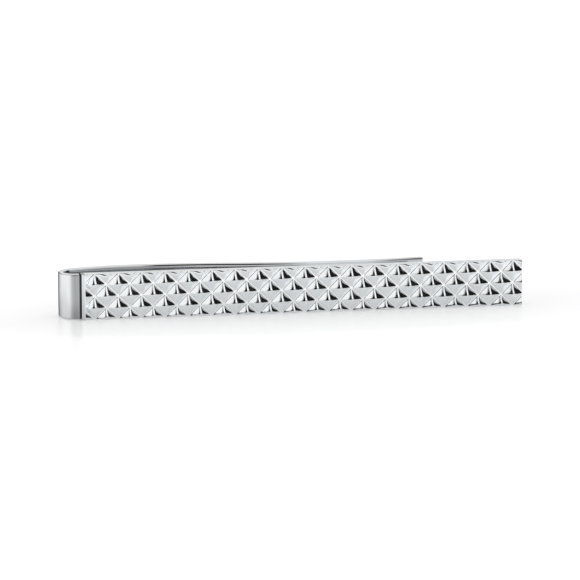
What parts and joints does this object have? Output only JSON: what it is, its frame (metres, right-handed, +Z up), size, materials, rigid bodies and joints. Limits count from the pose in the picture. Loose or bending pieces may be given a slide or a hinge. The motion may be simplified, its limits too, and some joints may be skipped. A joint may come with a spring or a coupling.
{
  "type": "tie clip",
  "caption": "Slide-on tie clip: a straight bar faced with rows of raised pyramids, folded over at one end into a bowed spring tongue that grips a tie against the bar's plain back.",
  "frame": {"origin": "middle of the bounding box at its bottom, level with the bar's lower long edge", "axes": "+X along the bar from the fold to the open end, -Y out of the patterned front, +Z up across the bar's width"},
  "size_m": [0.0532, 0.0056, 0.0051],
  "materials": {
    "polished_face": "mirror-polished silver with cut facets",
    "polished_strip": "mirror-polished silver, plain"
  },
  "bodies": {
    "bar": {"face_bar": "polished_face", "fold_front": "polished_strip"},
    "root": {"fold_rear": "polished_strip", "tongue_root": "polished_strip"},
    "middle": {"tongue_middle": "polished_strip"},
    "tip": {"tongue_tip": "polished_strip"}
  },
  "joints": [
    {"name": "fold_flex", "type": "hinge", "parent": "bar", "child": "root", "pos_m": [-0.02623, -0.00018, 0.00255], "axis": [0, 0, 1], "range_deg": [-0.9, 1.7], "stiffness_Nm_per_rad": 9},
    {"name": "root_flex", "type": "hinge", "parent": "root", "child": "middle", "pos_m": [-0.01656, 0.00231, 0.00255], "axis": [0, 0, 1], "range_deg": [-1.1, 2.05]},
    {"name": "middle_flex", "type": "hinge", "parent": "middle", "child": "tip", "pos_m": [-0.00313, 0.00103, 0.00255], "axis": [0, 0, 1], "range_deg": [-0.75, 1.37]}
  ],
  "couplings": [
    {"joint": "root_flex", "follows": "fold_flex", "ratio": 1.2},
    {"joint": "middle_flex", "follows": "fold_flex", "ratio": 0.8}
  ]
}
